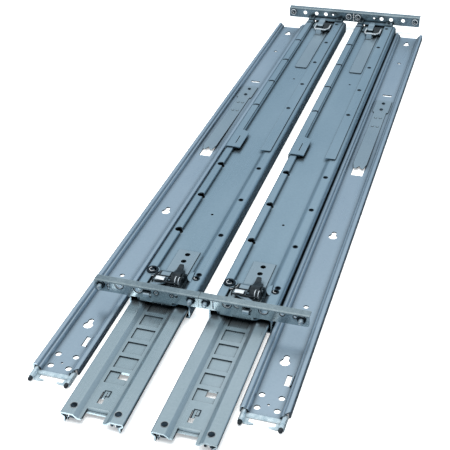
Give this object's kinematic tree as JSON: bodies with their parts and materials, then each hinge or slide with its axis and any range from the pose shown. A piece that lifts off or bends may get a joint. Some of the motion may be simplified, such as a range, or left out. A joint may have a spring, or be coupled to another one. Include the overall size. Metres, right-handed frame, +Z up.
{
  "type": "sliding server rail pair",
  "caption": "Pair of telescopic ball-bearing rack slides with brackets and spring latches, laid out beside their two loose channel rails for the server's sides.",
  "frame": {"origin": "on the floor under the middle of the laid-out set", "axes": "+Z up from the floor, +Y along the rails from the fronts to the rears, +X to the right"},
  "size_m": [0.195, 0.7908, 0.026],
  "materials": {
    "ball_steel": "polished steel balls",
    "bracket_zinc": "blue-white zinc plate, satin",
    "bright_chrome": "bright plated hook",
    "dark_rivet": "dark steel rivets",
    "latch_black": "black moulded plastic",
    "rail_zinc": "blue-white zinc plate, satin",
    "rubber_black": "black rubber",
    "spring_steel": "bright spring steel"
  },
  "bodies": {
    "left_slide": {"left_outer_rail": "rail_zinc", "left_front_bracket": "bracket_zinc", "left_front_pegs": "bracket_zinc", "left_front_rivets": "dark_rivet", "left_front_latch_spring": "spring_steel", "left_front_latch_frame": "spring_steel", "left_front_latch_pin": "spring_steel"},
    "left_front_latch": {"left_front_latch_lever": "latch_black", "left_front_latch_hook": "bright_chrome"},
    "left_middle": {"left_middle_rail": "rail_zinc", "left_stop_plate": "rail_zinc", "left_middle_rivets": "dark_rivet"},
    "left_outer_race": {"left_outer_ball_cage": "rail_zinc", "left_outer_balls": "ball_steel"},
    "left_inner_race": {"left_inner_ball_cage": "rail_zinc", "left_inner_balls": "ball_steel"},
    "left_extension": {"left_rear_extension": "rail_zinc", "left_rear_bracket": "bracket_zinc", "left_rear_pins": "bracket_zinc", "left_rear_rivets": "dark_rivet", "left_rear_latch_spring": "spring_steel", "left_rear_latch_frame": "spring_steel"},
    "left_rear_latch": {"left_rear_latch_lever": "latch_black", "left_rear_latch_hook": "bright_chrome"},
    "left_chassis": {"left_chassis_rail": "rail_zinc", "left_lock_foot": "spring_steel", "left_lock_rivets": "dark_rivet", "left_end_guide": "bright_chrome", "left_end_buffers": "rubber_black"},
    "left_lock": {"left_lock_leaf": "spring_steel"},
    "right_slide": {"right_outer_rail": "rail_zinc", "right_front_bracket": "bracket_zinc", "right_front_pegs": "bracket_zinc", "right_front_rivets": "dark_rivet", "right_front_latch_spring": "spring_steel", "right_front_latch_frame": "spring_steel", "right_front_latch_pin": "spring_steel"},
    "right_front_latch": {"right_front_latch_lever": "latch_black", "right_front_latch_hook": "bright_chrome"},
    "right_middle": {"right_middle_rail": "rail_zinc", "right_stop_plate": "rail_zinc", "right_middle_rivets": "dark_rivet"},
    "right_outer_race": {"right_outer_ball_cage": "rail_zinc", "right_outer_balls": "ball_steel"},
    "right_inner_race": {"right_inner_ball_cage": "rail_zinc", "right_inner_balls": "ball_steel"},
    "right_extension": {"right_rear_extension": "rail_zinc", "right_rear_bracket": "bracket_zinc", "right_rear_pins": "bracket_zinc", "right_rear_rivets": "dark_rivet", "right_rear_latch_spring": "spring_steel", "right_rear_latch_frame": "spring_steel"},
    "right_rear_latch": {"right_rear_latch_lever": "latch_black", "right_rear_latch_hook": "bright_chrome"},
    "right_chassis": {"right_chassis_rail": "rail_zinc", "right_lock_foot": "spring_steel", "right_lock_rivets": "dark_rivet", "right_end_guide": "bright_chrome", "right_end_buffers": "rubber_black"},
    "right_lock": {"right_lock_leaf": "spring_steel"}
  },
  "joints": [
    {"name": "left_middle_slide", "type": "slide", "parent": "left_slide", "child": "left_middle", "axis": [0, -1, 0], "range_m": [-0.12, 0.32]},
    {"name": "left_outer_race_slide", "type": "slide", "parent": "left_slide", "child": "left_outer_race", "axis": [0, -1, 0], "range_m": [-0.06, 0.16]},
    {"name": "left_inner_race_slide", "type": "slide", "parent": "left_middle", "child": "left_inner_race", "axis": [0, 1, 0], "range_m": [0, 0.4]},
    {"name": "left_length_adjust", "type": "slide", "parent": "left_slide", "child": "left_extension", "axis": [0, 1, 0], "range_m": [0, 0.25]},
    {"name": "left_front_latch_turn", "type": "hinge", "parent": "left_slide", "child": "left_front_latch", "pos_m": [-0.03083, -0.23435, 0.0156], "axis": [1, 0, 0], "range_deg": [0, 6], "stiffness_Nm_per_rad": 0.05, "springref_deg": -17.19},
    {"name": "left_rear_latch_turn", "type": "hinge", "parent": "left_extension", "child": "left_rear_latch", "pos_m": [-0.03083, 0.35565, 0.01575], "axis": [-1, 0, 0], "range_deg": [0, 6], "stiffness_Nm_per_rad": 0.05, "springref_deg": -17.19},
    {"name": "left_lock_press", "type": "hinge", "parent": "left_chassis", "child": "left_lock", "pos_m": [-0.07967, 0.14065, 0.0016], "axis": [-1, 0, 0], "range_deg": [0, 2.5], "stiffness_Nm_per_rad": 0.5, "springref_deg": -5.73},
    {"name": "right_middle_slide", "type": "slide", "parent": "right_slide", "child": "right_middle", "axis": [0, -1, 0], "range_m": [-0.12, 0.32]},
    {"name": "right_outer_race_slide", "type": "slide", "parent": "right_slide", "child": "right_outer_race", "axis": [0, -1, 0], "range_m": [-0.06, 0.16]},
    {"name": "right_inner_race_slide", "type": "slide", "parent": "right_middle", "child": "right_inner_race", "axis": [0, 1, 0], "range_m": [0, 0.4]},
    {"name": "right_length_adjust", "type": "slide", "parent": "right_slide", "child": "right_extension", "axis": [0, 1, 0], "range_m": [0, 0.25]},
    {"name": "right_front_latch_turn", "type": "hinge", "parent": "right_slide", "child": "right_front_latch", "pos_m": [0.03598, -0.23435, 0.0156], "axis": [1, 0, 0], "range_deg": [0, 6], "stiffness_Nm_per_rad": 0.05, "springref_deg": -17.19},
    {"name": "right_rear_latch_turn", "type": "hinge", "parent": "right_extension", "child": "right_rear_latch", "pos_m": [0.03598, 0.35565, 0.01575], "axis": [-1, 0, 0], "range_deg": [0, 6], "stiffness_Nm_per_rad": 0.05, "springref_deg": -17.19},
    {"name": "right_lock_press", "type": "hinge", "parent": "right_chassis", "child": "right_lock", "pos_m": [0.07967, 0.14065, 0.0016], "axis": [-1, 0, 0], "range_deg": [0, 2.5], "stiffness_Nm_per_rad": 0.5, "springref_deg": -5.73},
    {"name": "right_slide_lift", "type": "slide", "parent": "left_slide", "child": "right_slide", "axis": [0, 0, 1], "range_m": [0, 0.1]},
    {"name": "left_chassis_draw", "type": "slide", "parent": "left_slide", "child": "left_chassis", "axis": [0, -1, 0], "range_m": [0, 0.3]},
    {"name": "right_chassis_draw", "type": "slide", "parent": "left_slide", "child": "right_chassis", "axis": [0, -1, 0], "range_m": [0, 0.3]}
  ],
  "couplings": [
    {"joint": "left_outer_race_slide", "follows": "left_middle_slide", "ratio": 0.5},
    {"joint": "right_outer_race_slide", "follows": "right_middle_slide", "ratio": 0.5}
  ]
}
